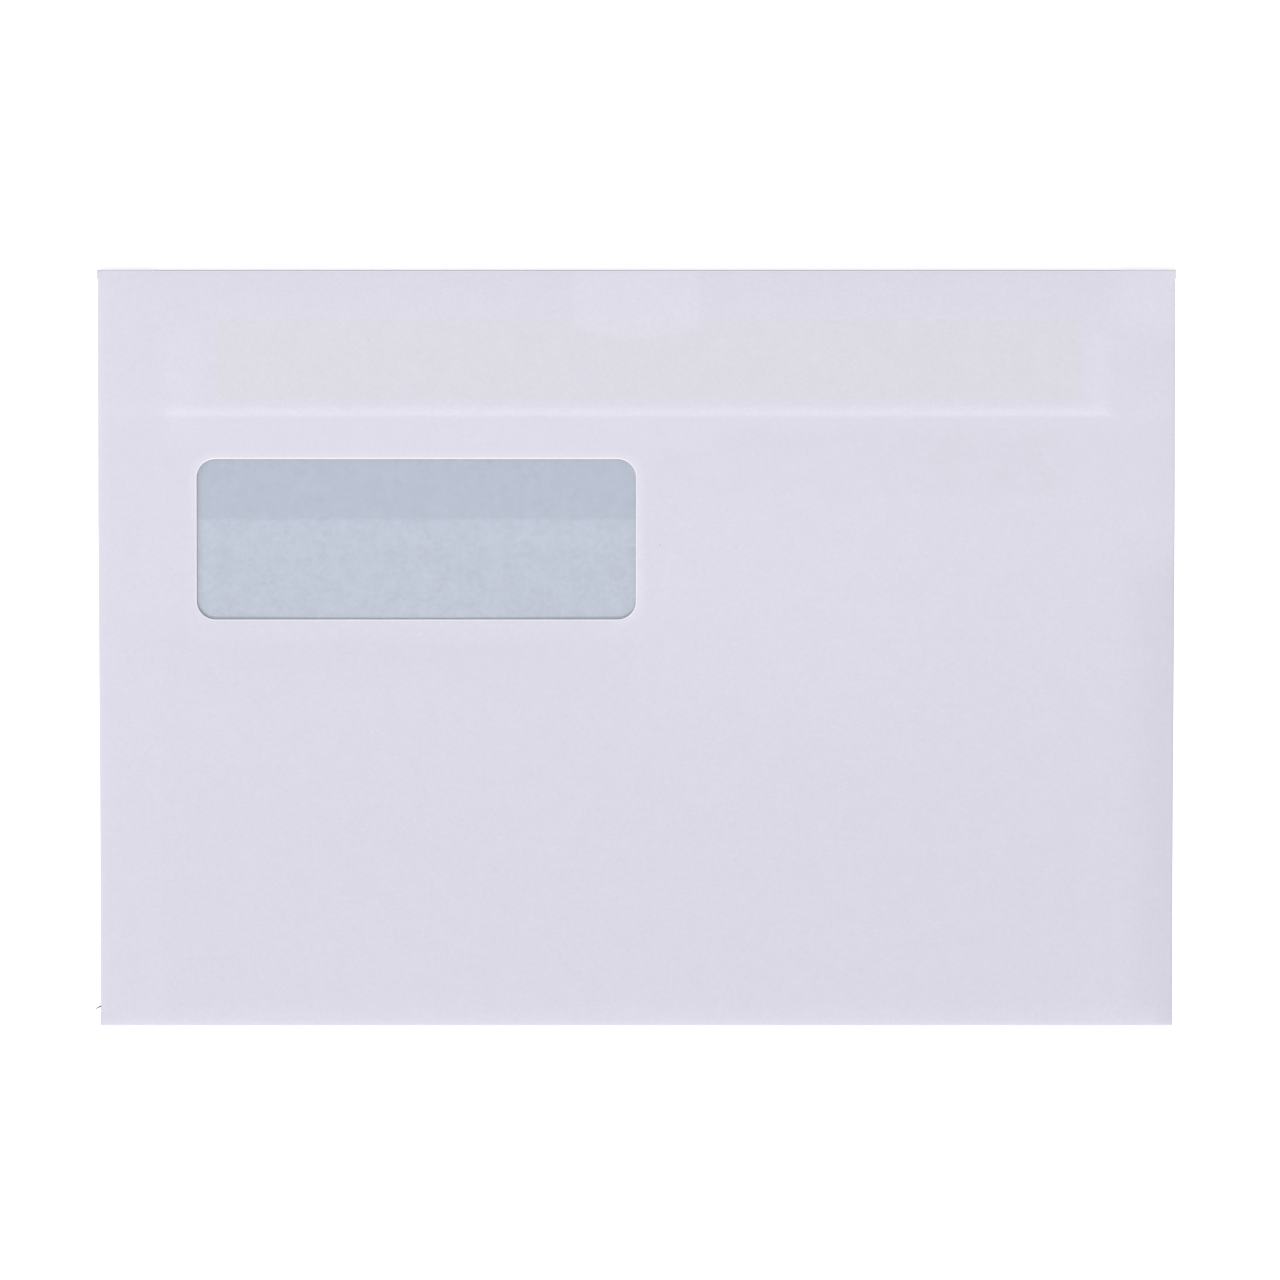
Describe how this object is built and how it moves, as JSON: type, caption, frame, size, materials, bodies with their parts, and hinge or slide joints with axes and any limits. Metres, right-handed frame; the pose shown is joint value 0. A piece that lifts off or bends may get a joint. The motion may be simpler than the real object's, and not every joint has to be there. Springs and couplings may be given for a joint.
{
  "type": "window envelope",
  "caption": "Self-sealing landscape window envelope, empty and unsealed, with a clear film window low on the left of its front.",
  "frame": {"origin": "centre of the bounding box at its lowest face, on the surface that the envelope lies on", "axes": "+X along the width, to the right as the front is read; +Y towards the closing flap's fold; +Z out of the front, which faces up"},
  "size_m": [0.2304, 0.1616, 0.0013],
  "materials": {
    "paper": "matte uncoated white paper with a faint blue cast, tinted blue-grey inside",
    "film": "thin clear glossy film",
    "latex": "dried latex coat, slightly yellow, semi-matte"
  },
  "bodies": {
    "root": {"envelope_blank": "paper", "window_film": "film", "closing_flap_latex": "latex", "counter_flap_latex": "latex"}
  },
  "joints": []
}
